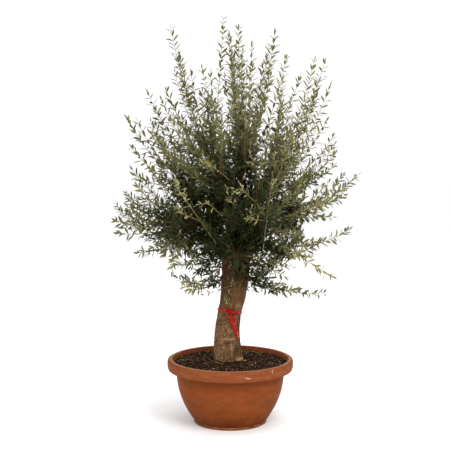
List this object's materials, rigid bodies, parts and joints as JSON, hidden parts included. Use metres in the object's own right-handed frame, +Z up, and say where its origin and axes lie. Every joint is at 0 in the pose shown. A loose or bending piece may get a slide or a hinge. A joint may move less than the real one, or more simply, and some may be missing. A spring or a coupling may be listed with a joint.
{
  "type": "potted olive tree",
  "caption": "Young olive tree with a leaning trunk and a round head of long leafy shoots, standing in a wide terracotta-coloured bowl pot.",
  "frame": {"origin": "middle of the pot's flat underside, where it stands on the ground", "axes": "+Z up along the tree, +X to the tree's right as its leaning trunk is seen from the front, +Y to its back"},
  "size_m": [1.1842, 1.1423, 1.9021],
  "materials": {
    "terracotta_plastic": "satin",
    "soil": "matte",
    "bark": "matte",
    "foliage": "matte",
    "marker_tape": "satin"
  },
  "bodies": {
    "root": {"pot": "terracotta_plastic", "soil": "soil", "trunk": "bark", "bough_middle": "bark", "bough_left": "bark", "bough_right": "bark", "bough_back": "bark", "bough_front": "bark", "limb_top_left": "bark", "limb_top_front": "bark", "limb_upper_back_right": "bark", "limb_upper_front_right": "bark", "limb_middle_back_right": "bark", "limb_middle_back_left": "bark", "limb_middle_front_left": "bark", "limb_middle_front_right": "bark", "limb_lower_left": "bark", "limb_lower_right": "bark", "limb_lower_back": "bark", "limb_lower_front": "bark", "mass_top_left": "foliage", "mass_top_back": "foliage", "mass_top_front": "foliage", "mass_upper_left": "foliage", "mass_upper_back_left": "foliage", "mass_upper_back_right": "foliage", "mass_upper_front_right": "foliage", "mass_upper_front_left": "foliage", "mass_middle_right": "foliage", "mass_middle_back_right": "foliage", "mass_middle_back_left": "foliage", "mass_middle_front_left": "foliage", "mass_middle_front_right": "foliage", "mass_lower_left": "foliage", "mass_lower_right": "foliage", "mass_lower_back": "foliage", "mass_lower_front": "foliage", "mass_bottom_left": "foliage", "mass_bottom_right": "foliage", "marker_tape_band": "marker_tape", "marker_tape_knot": "marker_tape", "marker_tape_tail_long": "marker_tape", "marker_tape_tail_short": "marker_tape"}
  },
  "joints": []
}
